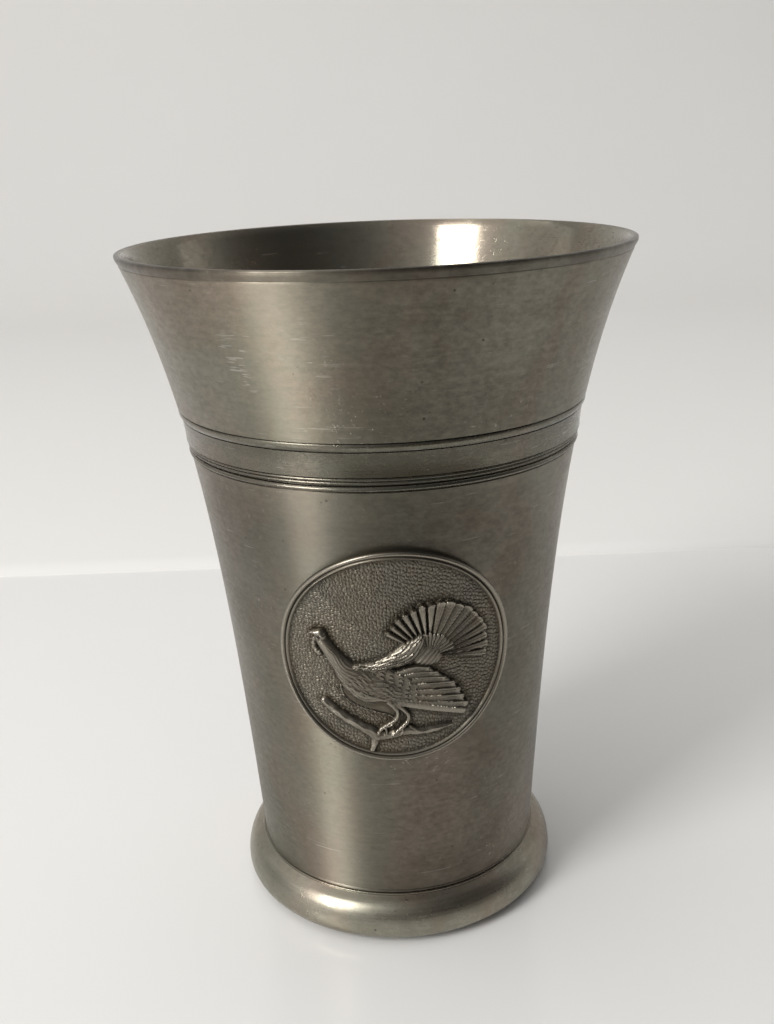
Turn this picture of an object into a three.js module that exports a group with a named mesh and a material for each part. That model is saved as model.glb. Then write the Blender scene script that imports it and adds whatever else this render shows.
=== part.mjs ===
// A flared pewter beaker with a moulded waist, a rounded foot ring and a curved medallion.
// Millimetres, +Z up, origin on the table under the beaker's axis. The medallion faces -Y.
import * as THREE from 'three';

// Driving dimensions.
const HEIGHT = 130;
const WALL = 1.6;
const SEGMENTS = 48;

// Outer wall: a slim cone whose radius flares out exponentially towards the mouth.
const CONE_RADIUS = 27.67;
const CONE_SLOPE = 0.0526;
const FLARE = 12.6;
const FLARE_LENGTH = 33.1;

// Lip: a rounded crest above a low bead on the outside.
const LIP_BEAD_BOTTOM = HEIGHT - 2.1;
const LIP_BEAD = 0.3;

// Waist band, and the laps that join it to the castings above and below.
const BAND_TOP = 101.8;
const BAND_BOTTOM = 93.1;
const LAP = 1.3;
const LAP_DEPTH = 0.8;
const SOLDER = 0.4;
const BELLY_TOP = 100.2;
const BELLY_BOTTOM = 96.1;

// Foot ring and base.
const FOOT_TOP = 9.4;
const FOOT_RADIUS = 32.4;
const SPIGOT_RADIUS = 27.7;
const SPIGOT_BOTTOM = 3.4;
const FOOT_BORE = 26.6;
const PLATE_RADIUS = 26.2;
const PLATE_BOTTOM = 4.6;
const PLATE_THICKNESS = 1.8;
const LEDGE_RADIUS = 25.2;
const FILLET = 0.8;

// Medallion: a disc bent round the lower body.
const MEDALLION_Z = 61.5;
const MEDALLION_ANGLE = THREE.MathUtils.degToRad(1.2);
const MEDALLION_RADIUS = 21.2;
const MEDALLION_SECTORS = 56;
const BED_HEIGHT = 0.15;
const BED_THICKNESS = 0.2;
const BED_RADIUS = 20.6;
const BACK_HEIGHT = 0.42;
const BACK_RINGS = [3.5, 7, 10.5, 14, 17.5];
const GROUND_HEIGHT = 0.75;
const RIM_HEIGHT = 1.35;

const outer = (z) => CONE_RADIUS + CONE_SLOPE * z + FLARE * Math.exp((z - HEIGHT) / FLARE_LENGTH);
const inner = (z) => outer(z) - WALL;

const pewter = (color, roughness) => new THREE.MeshStandardMaterial({ color, roughness, metalness: 1 });

const beaker = new THREE.Group();

function add(name, geometry, material) {
  const mesh = new THREE.Mesh(geometry, material);
  mesh.name = name;
  beaker.add(mesh);
}

// Turns a closed section, given as [radius, z] pairs with the metal on the left, about the Z axis.
function turned(section) {
  const points = [...section, section[0]].map(([radius, z]) => new THREE.Vector2(radius, z));
  return new THREE.LatheGeometry(points, SEGMENTS).rotateX(Math.PI / 2);
}

// Points on a wall between two heights, ends included, in either direction.
function wall(radiusAt, fromZ, toZ, steps) {
  return Array.from({ length: steps + 1 }, (_, i) => {
    const z = fromZ + ((toZ - fromZ) * i) / steps;
    return [radiusAt(z), z];
  });
}

// A flat ring of solder that fills the end of a lap.
function solderRing(innerRadius, outerRadius, bottom) {
  const top = bottom + SOLDER;
  return turned([[innerRadius, bottom], [outerRadius, bottom], [outerRadius, top], [innerRadius, top]]);
}

const upperLapRadius = outer(BAND_TOP) - LAP_DEPTH;
const upperLapBottom = BAND_TOP - LAP;
const lowerLapRadius = outer(BAND_BOTTOM) - LAP_DEPTH;
const lowerLapTop = BAND_BOTTOM + LAP;

function mouthSection() {
  const lipInside = outer(HEIGHT) - WALL;
  return turned([
    [inner(upperLapBottom), upperLapBottom],
    [upperLapRadius, upperLapBottom],
    [upperLapRadius, BAND_TOP],
    ...wall((z) => outer(z) + 0.1, BAND_TOP, LIP_BEAD_BOTTOM, 6),
    [outer(LIP_BEAD_BOTTOM) + LIP_BEAD, LIP_BEAD_BOTTOM + 0.4],
    [outer(HEIGHT - 0.9) + LIP_BEAD, HEIGHT - 0.9],
    [outer(HEIGHT) - 0.25, HEIGHT - 0.2],
    [lipInside + 0.85, HEIGHT],
    [lipInside + 0.25, HEIGHT - 0.25],
    ...wall(inner, HEIGHT - 1.2, upperLapBottom, 6).slice(0, -1),
  ]);
}

function waistBand() {
  const shelfTop = upperLapBottom - SOLDER;
  const shelfBottom = lowerLapTop + SOLDER;
  // Beads stand proud of the wall and grooves cut into it, from the bottom to the top.
  const lowerBeads = [[93.1, -0.15], [93.5, 0.25], [93.95, 0.25], [94.3, -0.2], [94.65, 0.12],
    [95.05, -0.12], [95.4, 0.12], [95.75, -0.2]];
  const belly = [[BELLY_BOTTOM, 0.1], [98.2, 0.15], [99.4, -0.05], [BELLY_TOP, -0.45]];
  const ridge = [[100.6, 0.05], [101.3, 0.1], [BAND_TOP, -0.2]];
  const outline = [...lowerBeads, ...belly, ...ridge].map(([z, relief]) => [outer(z) + relief, z]);
  return turned([
    [lowerLapRadius, BAND_BOTTOM],
    ...outline,
    [upperLapRadius, BAND_TOP],
    [upperLapRadius, shelfTop],
    ...wall(inner, shelfTop, shelfBottom, 2),
    [lowerLapRadius, shelfBottom],
  ]);
}

function lowerBody() {
  const plateTop = PLATE_BOTTOM + PLATE_THICKNESS;
  return turned([
    [PLATE_RADIUS, SPIGOT_BOTTOM],
    [SPIGOT_RADIUS, SPIGOT_BOTTOM],
    [SPIGOT_RADIUS, FOOT_TOP],
    ...wall(outer, FOOT_TOP, BAND_BOTTOM, 10),
    [lowerLapRadius, BAND_BOTTOM],
    [lowerLapRadius, lowerLapTop],
    ...wall(inner, lowerLapTop, plateTop + 1.6, 5),
    [LEDGE_RADIUS + 0.7, plateTop + 0.4],
    [LEDGE_RADIUS, plateTop],
    [PLATE_RADIUS, plateTop],
  ]);
}

function footRing() {
  const shoulder = 28.9;
  const crown = [[29.8, 0], [31.3, 0.5], [32.15, 1.5], [FOOT_RADIUS, 3.1], [32.0, 5.2], [31.0, 7.1],
    [29.9, 8.3]];
  return turned([
    [FOOT_BORE, 0],
    ...crown,
    [shoulder, 8.8],
    [shoulder, FOOT_TOP],
    [SPIGOT_RADIUS, FOOT_TOP],
    [SPIGOT_RADIUS, SPIGOT_BOTTOM - SOLDER],
    [FOOT_BORE, SPIGOT_BOTTOM - SOLDER],
  ]);
}

function basePlate() {
  const top = PLATE_BOTTOM + PLATE_THICKNESS;
  return turned([[0, PLATE_BOTTOM], [PLATE_RADIUS, PLATE_BOTTOM], [PLATE_RADIUS, top], [0, top]]);
}

function baseSolder() {
  return turned([
    [PLATE_RADIUS - FILLET, PLATE_BOTTOM],
    [PLATE_RADIUS, PLATE_BOTTOM - FILLET],
    [PLATE_RADIUS, PLATE_BOTTOM],
  ]);
}

// Places a point of the flat medallion, u to the right and v up, on the body at a height over its wall.
function onBody(u, v, height) {
  const slope = CONE_SLOPE + (FLARE / FLARE_LENGTH) * Math.exp((MEDALLION_Z - HEIGHT) / FLARE_LENGTH);
  const z = MEDALLION_Z + v / Math.hypot(1, slope);
  const angle = MEDALLION_ANGLE + u / outer(z);
  const radius = outer(z) + height;
  return [radius * Math.sin(angle), -radius * Math.cos(angle), z];
}

// A closed disc bent round the body, between a back and a front that are heights over the wall.
function bentDisc(radius, frontRings, frontAt, backRings, backAt) {
  const positions = [];
  const index = [];
  function face(rings, heightAt, facing) {
    const start = positions.length / 3;
    positions.push(...onBody(0, 0, heightAt(0, 0)));
    for (const ringRadius of rings) {
      for (let s = 0; s < MEDALLION_SECTORS; s += 1) {
        const angle = (2 * Math.PI * s) / MEDALLION_SECTORS;
        const u = ringRadius * Math.cos(angle);
        const v = ringRadius * Math.sin(angle);
        positions.push(...onBody(u, v, heightAt(u, v)));
      }
    }
    const at = (r, s) => start + 1 + r * MEDALLION_SECTORS + (s % MEDALLION_SECTORS);
    const triangle = (a, b, c) => index.push(...(facing > 0 ? [a, b, c] : [a, c, b]));
    for (let s = 0; s < MEDALLION_SECTORS; s += 1) {
      triangle(start, at(0, s), at(0, s + 1));
      for (let r = 0; r + 1 < rings.length; r += 1) {
        triangle(at(r, s), at(r + 1, s), at(r + 1, s + 1));
        triangle(at(r, s), at(r + 1, s + 1), at(r, s + 1));
      }
    }
    return (s) => at(rings.length - 1, s);
  }
  const frontEdge = face([...frontRings, radius], frontAt, 1);
  const backEdge = face([...backRings, radius], backAt, -1);
  for (let s = 0; s < MEDALLION_SECTORS; s += 1) {
    index.push(frontEdge(s), backEdge(s), backEdge(s + 1));
    index.push(frontEdge(s), backEdge(s + 1), frontEdge(s + 1));
  }
  const geometry = new THREE.BufferGeometry();
  geometry.setAttribute('position', new THREE.Float32BufferAttribute(positions, 3));
  geometry.setIndex(index);
  geometry.computeVertexNormals();
  return geometry;
}

// Rounded limbs of the relief: from a point to a point, with a radius at each end and a top height.
const LIMBS = [
  { from: [-12.6, 4.6], to: [-7.0, -2.6], radii: [1.7, 2.6], height: 1.0 },
  { from: [-7.0, -3.4], to: [-0.5, -5.6], radii: [3.2, 3.2], height: 1.2 },
  { from: [-3.5, -1.8], to: [5.4, 0.6], radii: [2.0, 2.4], height: 1.1 },
  { from: [-1.6, -4.0], to: [10.6, -10.4], radii: [3.6, 1.9], height: 1.3 },
  { from: [-12.7, -8.9], to: [-4.0, -15.2], radii: [1.0, 1.1], height: 0.8 },
  { from: [-4.0, -15.2], to: [8.7, -14.4], radii: [1.1, 0.8], height: 0.6 },
  { from: [0.4, -8.8], to: [-1.2, -15.2], radii: [0.9, 0.9], height: 0.7 },
];
const TAIL = { centre: [6.0, 1.8], radius: 9.6, from: -0.25, to: 2.75, height: 0.7 };

// The height of a limb over a point: a dome across the limb that ends at its radius.
function limbHeight({ from, to, radii, height }, u, v) {
  const run = [to[0] - from[0], to[1] - from[1]];
  const along = ((u - from[0]) * run[0] + (v - from[1]) * run[1]) / (run[0] ** 2 + run[1] ** 2);
  const t = THREE.MathUtils.clamp(along, 0, 1);
  const distance = Math.hypot(u - from[0] - t * run[0], v - from[1] - t * run[1]);
  const radius = THREE.MathUtils.lerp(radii[0], radii[1], t);
  return height * Math.sqrt(Math.max(0, 1 - (distance / radius) ** 2));
}

// The tail is an open fan of even height.
function tailHeight(u, v) {
  const angle = Math.atan2(v - TAIL.centre[1], u - TAIL.centre[0]);
  const inFan = Math.hypot(u - TAIL.centre[0], v - TAIL.centre[1]) < TAIL.radius;
  return inFan && angle > TAIL.from && angle < TAIL.to ? TAIL.height : 0;
}

function medallionFront(u, v) {
  const radius = Math.hypot(u, v);
  if (radius > MEDALLION_RADIUS - 0.1) return GROUND_HEIGHT;
  if (radius > MEDALLION_RADIUS - 1.5) return RIM_HEIGHT;
  const relief = LIMBS.map((limb) => limbHeight(limb, u, v));
  return GROUND_HEIGHT + Math.max(tailHeight(u, v), ...relief);
}

function medallion() {
  const ringStep = 1.2;
  const groundRings = Array.from({ length: 16 }, (_, i) => (i + 1) * ringStep);
  const rimRings = [MEDALLION_RADIUS - 1.4, MEDALLION_RADIUS - 0.3];
  const frontRings = [...groundRings, ...rimRings];
  return bentDisc(MEDALLION_RADIUS, frontRings, medallionFront, BACK_RINGS, () => BACK_HEIGHT);
}

function medallionSolder() {
  const front = () => BED_HEIGHT + BED_THICKNESS;
  return bentDisc(BED_RADIUS, BACK_RINGS, front, BACK_RINGS, () => BED_HEIGHT);
}

const body = pewter(0x8a867c, 0.38);
const band = pewter(0x86827a, 0.34);
const foot = pewter(0x8c887e, 0.28);
const patinated = pewter(0x757168, 0.42);
const solder = pewter(0x9a978f, 0.45);

add('mouth_section', mouthSection(), body);
add('waist_band', waistBand(), band);
add('lower_body', lowerBody(), body.clone());
add('foot_ring', footRing(), foot);
add('base_plate', basePlate(), body.clone());
add('medallion', medallion(), patinated);
add('waist_solder_upper', solderRing(inner(upperLapBottom), upperLapRadius, upperLapBottom - SOLDER), solder);
add('waist_solder_lower', solderRing(inner(lowerLapTop), lowerLapRadius, lowerLapTop), solder.clone());
add('foot_solder', solderRing(FOOT_BORE, SPIGOT_RADIUS, SPIGOT_BOTTOM - SOLDER), solder.clone());
add('base_solder', baseSolder(), solder.clone());
add('medallion_solder', medallionSolder(), solder.clone());

export default beaker;
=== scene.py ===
"""A pewter beaker with a relief medallion, on a pale studio floor."""
import math

import bpy
import numpy as np
from mathutils import Matrix, Vector


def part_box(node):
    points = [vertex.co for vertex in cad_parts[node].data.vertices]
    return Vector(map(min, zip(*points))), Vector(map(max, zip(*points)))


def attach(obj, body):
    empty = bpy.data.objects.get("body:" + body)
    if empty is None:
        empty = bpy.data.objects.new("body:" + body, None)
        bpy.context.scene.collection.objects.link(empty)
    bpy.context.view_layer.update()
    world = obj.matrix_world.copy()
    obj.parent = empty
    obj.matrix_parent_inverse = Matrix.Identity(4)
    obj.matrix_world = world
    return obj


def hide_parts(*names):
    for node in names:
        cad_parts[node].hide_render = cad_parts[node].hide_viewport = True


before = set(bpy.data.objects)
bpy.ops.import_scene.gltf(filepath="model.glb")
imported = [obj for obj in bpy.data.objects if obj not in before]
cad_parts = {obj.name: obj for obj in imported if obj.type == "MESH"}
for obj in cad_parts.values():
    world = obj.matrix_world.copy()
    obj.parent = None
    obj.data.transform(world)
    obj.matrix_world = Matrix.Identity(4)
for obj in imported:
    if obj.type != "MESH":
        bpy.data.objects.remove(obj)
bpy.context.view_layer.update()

MM = 0.001
ROOT = "root"


def frame_mm(node, corner, axis):
    """One coordinate of a CAD node's box, in millimetres."""
    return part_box(node)[corner][axis] / MM


# Heights and radii from the frame, in millimetres like every shape below.
HEIGHT = frame_mm("mouth_section", 1, 2)
BAND_BOTTOM = frame_mm("waist_band", 0, 2)
BAND_TOP = frame_mm("waist_band", 1, 2)
FOOT_TOP = frame_mm("foot_ring", 1, 2)
FOOT_RADIUS = frame_mm("foot_ring", 1, 0)
PLATE_BOTTOM = frame_mm("base_plate", 0, 2)
PLATE_TOP = frame_mm("base_plate", 1, 2)
PLATE_RADIUS = frame_mm("base_plate", 1, 0)
SPIGOT_BOTTOM = frame_mm("lower_body", 0, 2)
SPIGOT_RADIUS = frame_mm("foot_solder", 1, 0)

# The outer wall: a slim cone with an exponential flare.
WALL = 1.6
CONE_RADIUS = 27.67
CONE_SLOPE = 0.0526
FLARE = 12.6
FLARE_LENGTH = 33.1

# The joints between the castings.
LAP = 1.3
LAP_DEPTH = 0.8
SOLDER = 0.4
FOOT_BORE = 26.6
LEDGE_RADIUS = 25.2

MEDALLION_ANGLE = math.radians(1.2)
MEDALLION_RADIUS = 21.2
MEDALLION_Z = (frame_mm("medallion", 0, 2) + frame_mm("medallion", 1, 2)) / 2


def outer(z):
    """The outer wall's radius at a height."""
    return CONE_RADIUS + CONE_SLOPE * z + FLARE * np.exp((z - HEIGHT) / FLARE_LENGTH)


def inner(z):
    """The inner wall's radius at a height."""
    return outer(z) - WALL


# ---------------------------------------------------------------- helpers


def clamp(value):
    """Keeps a value between 0 and 1."""
    return np.clip(value, 0, 1)


def bell(offset, width):
    """A smooth bump, 1 where the offset is 0."""
    return np.exp(-(offset / width) ** 2)


def mesh_object(name, verts, faces, unit=MM):
    """A smooth-shaded mesh object, its vertices given in a unit."""
    mesh = bpy.data.meshes.new(name)
    mesh.from_pydata((np.asarray(verts) * unit).tolist(), [], faces)
    mesh.validate()
    mesh.polygons.foreach_set("use_smooth", [True] * len(mesh.polygons))
    mesh.update()
    piece = bpy.data.objects.new(name, mesh)
    bpy.context.scene.collection.objects.link(piece)
    return piece


def paint(piece, name, values):
    """Stores a number per vertex for the materials; vertices beyond the values get 0."""
    padded = np.zeros(len(piece.data.vertices))
    padded[: values.size] = values.reshape(-1)
    piece.data.attributes.new(name, "FLOAT", "POINT").data.foreach_set("value", padded)


def wobble(angle, z):
    """How far the hand-finished metal is out of round; never outwards."""
    waves = 0.35 * np.sin(2 * angle + 0.6 + z * 0.011) + 0.2 * np.sin(3 * angle + 2.1 - z * 0.03)
    ripple = 0.12 * np.sin(7 * angle + z * 0.05) * np.sin(z * 0.09 + 1.0)
    return 0.07 * (waves + ripple - 0.67)


STEPS = 240


def grime_and_shade(radius, height):
    """How dirty and how shaded the outside is, 0 to 1: dirt and painted shade in the grooves, dirt at the
    foot's seam, painted shade under the lip's crest and on its top.
    """
    outside = radius > outer(height) - 0.9
    # The grooves hold dirt and painted shade.
    groove = clamp((outer(height) - radius - 0.03) / 0.2) * outside
    seam = 0.45 * bell(height - FOOT_TOP, 0.2)
    # Painted shade: a dark band under the lip's crest, and the crest's top darkened to dim its highlight.
    from_top = HEIGHT - height
    under_lip_shade = clamp((1.95 - from_top) / 0.25) * clamp((from_top - 0.35) / 0.2)
    crest = clamp((0.9 - from_top) / 0.5)
    return np.maximum.reduce([groove, seam, 0.7 * under_lip_shade * outside, crest * outside])


def turned_points(radius, height, true_round=False):
    """The vertices of a section turned about the axis, section after section."""
    angle = np.arange(STEPS)[:, None] * (2 * math.pi / STEPS)
    r = radius[None, :] + (0 * angle if true_round else wobble(angle, height[None, :]))
    z = np.broadcast_to(height, r.shape)
    return np.stack([r * np.sin(angle), -r * np.cos(angle), z], axis=-1).reshape(-1, 3)


def turned_faces(count, closed):
    """The faces between each turned section and the next, by points in a section."""
    faces = []
    for s in range(STEPS):
        here, there = s * count, ((s + 1) % STEPS) * count
        for p in range(count if closed else count - 1):
            q = (p + 1) % count
            faces.append((here + p, there + p, there + q, here + q))
    return faces


def turned(name, section):
    """A closed section of (radius, z) points turned about the axis."""
    radius, height = np.array(section, dtype=float).T
    piece = mesh_object(name, turned_points(radius, height), turned_faces(len(radius), True))
    paint(piece, "grime_and_shade", np.tile(grime_and_shade(radius, height), STEPS))
    return piece


def turned_disc(name, section):
    """An open section that starts and ends on the axis, turned into a closed disc."""
    radius, height = np.array(section[1:-1], dtype=float).T
    count = len(radius)
    poles = [(0, 0, section[0][1]), (0, 0, section[-1][1])]
    verts = np.concatenate([turned_points(radius, height, true_round=True), poles])
    bottom, top = len(verts) - 2, len(verts) - 1
    faces = turned_faces(count, False)
    for s in range(STEPS):
        here, there = s * count, ((s + 1) % STEPS) * count
        faces += [(bottom, there, here), (top, here + count - 1, there + count - 1)]
    return mesh_object(name, verts, faces)


def wall(radius_at, start, end, steps):
    """Points down or up a wall whose radius follows from its height."""
    return [(radius_at(z), z) for z in np.linspace(start, end, steps + 1)]


def bead(start, end, rise, steps=7):
    """A round moulding on the outer wall: positive is a bead, negative a groove."""
    z = np.linspace(start, end, steps + 1)
    swell = np.sin(np.linspace(0, math.pi, steps + 1)) * rise
    return list(zip(outer(z) + swell, z))


def arc(centre, radii, start, end, steps):
    """Points on an ellipse, by angles in degrees."""
    angles = np.radians(np.linspace(start, end, steps + 1))
    return [(centre[0] + radii[0] * math.cos(a), centre[1] + radii[1] * math.sin(a)) for a in angles]


# ---------------------------------------------------------------- turned pieces

LAP_BOTTOM = BAND_TOP - LAP
UPPER_LAP_RADIUS = outer(BAND_TOP) - LAP_DEPTH
LOWER_LAP_RADIUS = outer(BAND_BOTTOM) - LAP_DEPTH
LOWER_LAP_TOP = BAND_BOTTOM + LAP


def mouth_section():
    """The flared mouth, with a low rounded bead under the lip's crest."""
    lip = 0.65
    crest = outer(HEIGHT) - 0.75
    bead_low = HEIGHT - 1.75
    roll = np.sin(np.linspace(0, math.pi / 2, 8)) ** 0.7
    bead_side = [(min(outer(z) + 0.20 * rise, outer(HEIGHT) - 0.10), z)
                 for z, rise in zip(np.linspace(bead_low, HEIGHT - 0.34, 8), roll)]
    return turned("mouth_section", [
        (inner(LAP_BOTTOM), LAP_BOTTOM),
        (UPPER_LAP_RADIUS, LAP_BOTTOM),
        (UPPER_LAP_RADIUS, BAND_TOP),
        (outer(BAND_TOP) - 0.1, BAND_TOP),
        (outer(BAND_TOP) + 0.08, BAND_TOP + 0.07),
        (outer(BAND_TOP) + 0.12, BAND_TOP + 0.22),
        *wall(lambda z: outer(z) + 0.10, BAND_TOP + 0.6, bead_low - 0.25, 40),
        (outer(bead_low) + 0.02, bead_low - 0.08),
        *bead_side,
        *arc((crest, HEIGHT - 0.24), (lip, 0.24), 10, 170, 14),
        *wall(inner, HEIGHT - 0.9, LAP_BOTTOM, 44)[:-1],
    ])


def waist_band():
    """The moulded ring: beads and grooves, a broad shallow scoop, and a ridge under the mouth's edge."""
    scoop_low, scoop_high = BAND_BOTTOM + 2.72, BAND_BOTTOM + 7.0
    t = np.linspace(0, 1, 16)
    scoop_z = scoop_low + (scoop_high - scoop_low) * t
    scoop = 0.34 * (1 - t) ** 2 - 0.12
    ridge_z = np.linspace(scoop_high + 0.12, BAND_TOP - 0.18, 12)
    ridge = 0.22 * np.sin(np.linspace(0.25, math.pi, 12)) ** 0.8 - 0.22 * np.linspace(1, 0, 12) ** 2
    shelf_top, shelf_bottom = LAP_BOTTOM - SOLDER, LOWER_LAP_TOP + SOLDER
    return turned("waist_band", [
        (LOWER_LAP_RADIUS, BAND_BOTTOM),
        (outer(BAND_BOTTOM) - 0.18, BAND_BOTTOM),
        *bead(BAND_BOTTOM + 0.10, BAND_BOTTOM + 0.92, 0.30, 9),
        *bead(BAND_BOTTOM + 0.97, BAND_BOTTOM + 1.36, -0.34, 8),
        *bead(BAND_BOTTOM + 1.40, BAND_BOTTOM + 1.84, 0.15),
        *bead(BAND_BOTTOM + 1.86, BAND_BOTTOM + 2.00, -0.18, 4),
        *bead(BAND_BOTTOM + 2.02, BAND_BOTTOM + 2.46, 0.15),
        *bead(BAND_BOTTOM + 2.48, BAND_BOTTOM + 2.70, -0.30, 6),
        *zip(outer(scoop_z) + scoop, scoop_z),
        (outer(scoop_high) - 0.46, scoop_high + 0.06),
        *zip(outer(ridge_z) + ridge, ridge_z),
        (outer(BAND_TOP) - 0.22, BAND_TOP - 0.10),
        (outer(BAND_TOP) - 0.24, BAND_TOP),
        (UPPER_LAP_RADIUS, BAND_TOP),
        (UPPER_LAP_RADIUS, shelf_top),
        *wall(inner, shelf_top, shelf_bottom, 6),
        (LOWER_LAP_RADIUS, shelf_bottom),
    ])


def lower_body():
    """The tapering lower casting, with a fine bead and groove where the foot ring meets it."""
    cove = 1.6
    floor_edge = PLATE_TOP + cove
    return turned("lower_body", [
        (PLATE_RADIUS, SPIGOT_BOTTOM),
        (SPIGOT_RADIUS, SPIGOT_BOTTOM),
        (SPIGOT_RADIUS, FOOT_TOP),
        (outer(FOOT_TOP) - 0.05, FOOT_TOP),
        *bead(FOOT_TOP + 0.04, FOOT_TOP + 0.40, 0.07),
        *bead(FOOT_TOP + 0.42, FOOT_TOP + 0.66, -0.12, 4),
        *wall(outer, FOOT_TOP + 0.7, BAND_BOTTOM - 0.35, 70),
        (outer(BAND_BOTTOM) - 0.02, BAND_BOTTOM - 0.12),
        (outer(BAND_BOTTOM) - 0.16, BAND_BOTTOM),
        (LOWER_LAP_RADIUS, BAND_BOTTOM),
        (LOWER_LAP_RADIUS, LOWER_LAP_TOP),
        *wall(inner, LOWER_LAP_TOP, floor_edge, 60),
        *arc((LEDGE_RADIUS, floor_edge), (inner(floor_edge) - LEDGE_RADIUS, cove), -6, -90, 8),
        (PLATE_RADIUS, PLATE_TOP),
    ])


def foot_ring():
    """The plump ring, rounded outside, flat where it stands, with a fine round line at its top."""
    widest = 3.1
    top_radius = 28.9
    crown = arc((FOOT_RADIUS - 4.0, widest), (4.0, 5.75), 0, 62, 22)
    return turned("foot_ring", [
        (FOOT_BORE, 0.12),
        (FOOT_BORE + 0.12, 0.0),
        (28.7, 0.0),
        (29.2, 0.1),
        (29.6, 0.33),
        (30.1, 0.62),
        *arc((FOOT_RADIUS - 2.6, widest), (2.6, 2.35), -70, -3, 16),
        *crown,
        (29.75, FOOT_TOP - 0.92),
        (29.30, FOOT_TOP - 0.68),
        (top_radius + 0.06, FOOT_TOP - 0.50),
        (top_radius - 0.06, FOOT_TOP - 0.42),
        *[(top_radius + 0.05 * math.sin(a), FOOT_TOP - 0.36 + 0.32 * a / math.pi)
          for a in np.linspace(0, math.pi, 7)],
        (top_radius - 0.06, FOOT_TOP),
        (SPIGOT_RADIUS, FOOT_TOP),
        (SPIGOT_RADIUS, SPIGOT_BOTTOM - SOLDER),
        (FOOT_BORE, SPIGOT_BOTTOM - SOLDER),
    ])


def base_plate():
    """The bottom disc, with turned rings and a shallow centre dimple on both faces."""
    dimple = 0.1

    def face(z, sign):
        radii = np.linspace(0.6, PLATE_RADIUS - 0.02, 60)
        rings = 0.05 * np.cos(radii * 1.9) * (radii < 20) + dimple * bell(radii, 1.4)
        return [(r, z + sign * max(ring, 0.0)) for r, ring in zip(radii, rings)]

    low = face(PLATE_BOTTOM, 1)
    high = face(PLATE_TOP, -1)[::-1]
    return turned_disc("base_plate", [
        (0, PLATE_BOTTOM + dimple),
        *low,
        (PLATE_RADIUS, PLATE_BOTTOM),
        (PLATE_RADIUS, PLATE_TOP),
        *high,
        (0, PLATE_TOP - dimple),
    ])


def solder_ring(name, bore, edge, bottom):
    """A square ring of solder."""
    top = bottom + SOLDER
    return turned(name, [(bore, bottom), (edge, bottom), (edge, top), (bore, top)])


def base_solder():
    """A concave fillet between the plate's underside and the spigot."""
    size = 0.8
    cove = arc((PLATE_RADIUS - size, PLATE_BOTTOM - size), (size, size), 90, 0, 8)
    return turned("base_solder", [*cove, (PLATE_RADIUS, PLATE_BOTTOM)][::-1])


# ---------------------------------------------------------------- medallion

# Heights over the body's wall.
BED = 0.12
GROUND = 0.75
RIM = 1.42

# The stippled ground's grain, its height and width, and the cells across the casting.
GRAIN = 0.16
PEBBLE = 0.60
GRID = 300


def on_body(u, v, height):
    """Bends a flat point, u to the right and v up, round the body at a height over its wall."""
    slope = CONE_SLOPE + FLARE / FLARE_LENGTH * math.exp((MEDALLION_Z - HEIGHT) / FLARE_LENGTH)
    z = MEDALLION_Z + v / math.hypot(1, slope)
    angle = MEDALLION_ANGLE + u / outer(z)
    radius = outer(z) + height
    return np.stack([radius * np.sin(angle), -radius * np.cos(angle), z], axis=-1)


def disc_grid(radius, cells):
    """A square grid squeezed into a disc, so that its outer ring is round."""
    a, b = np.meshgrid(np.linspace(-1, 1, cells + 1), np.linspace(-1, 1, cells + 1))
    wide = np.abs(a) > np.abs(b)
    reach = np.where(wide, a, b)
    other = np.where(wide, b, a)
    ratio = np.divide(other, reach, out=np.zeros_like(a), where=np.abs(reach) > 1e-9)
    angle = np.where(wide, ratio, 2 - ratio) * math.pi / 4
    return radius * reach * np.cos(angle), radius * reach * np.sin(angle)


def spline(points, per=8, closed=False):
    """A Catmull-Rom curve through given points; columns beyond the first two ride along."""
    p = np.array(points, dtype=float)
    ends = (p[-1:], p[:2]) if closed else (2 * p[:1] - p[1:2], 2 * p[-1:] - p[-2:-1])
    q = np.concatenate([ends[0], p, ends[1]])
    out = []
    for i in range(len(q) - 3):
        for t in np.linspace(0, 1, per, endpoint=False):
            out.append(0.5 * (2 * q[i + 1] + (q[i + 2] - q[i]) * t
                              + (2 * q[i] - 5 * q[i + 1] + 4 * q[i + 2] - q[i + 3]) * t ** 2
                              + (3 * q[i + 1] - q[i] - 3 * q[i + 2] + q[i + 3]) * t ** 3))
    if not closed:
        out.append(p[-1])
    return np.array(out)


def nearest(u, v, path):
    """Distance to a polyline, its side, how far along the nearest point is, and the extra columns there."""
    best = np.full(u.shape, 1e9)
    side = np.zeros(u.shape)
    along = np.zeros(u.shape)
    extra = np.zeros(u.shape + (path.shape[1] - 2,))
    run = 0.0
    for a, b in zip(path[:-1], path[1:]):
        d = b[:2] - a[:2]
        length = math.hypot(*d) or 1e-9
        t = clamp(((u - a[0]) * d[0] + (v - a[1]) * d[1]) / length ** 2)
        du, dv = u - a[0] - t * d[0], v - a[1] - t * d[1]
        distance = np.hypot(du, dv)
        nearer = distance < best
        best = np.where(nearer, distance, best)
        side = np.where(nearer, (d[0] * dv - d[1] * du) / length, side)
        along = np.where(nearer, run + t * length, along)
        for k in range(extra.shape[-1]):
            value = a[k + 2] + t * (b[k + 2] - a[k + 2])
            extra[..., k] = np.where(nearer, value, extra[..., k])
        run += length
    return best, side, along, extra


def inside(u, v, outline):
    """Whether points are inside a closed outline."""
    hit = np.zeros(u.shape, dtype=bool)
    for a, b in zip(outline, np.roll(outline, -1, axis=0)):
        if a[1] == b[1]:
            continue
        crosses = (a[1] > v) != (b[1] > v)
        hit ^= crosses & (u < a[0] + (v - a[1]) / (b[1] - a[1]) * (b[0] - a[0]))
    return hit


def dome(distance, radius):
    """A round cross-section: 1 on the line, 0 at the radius."""
    return np.sqrt(clamp(1 - (distance / radius) ** 2))


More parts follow.
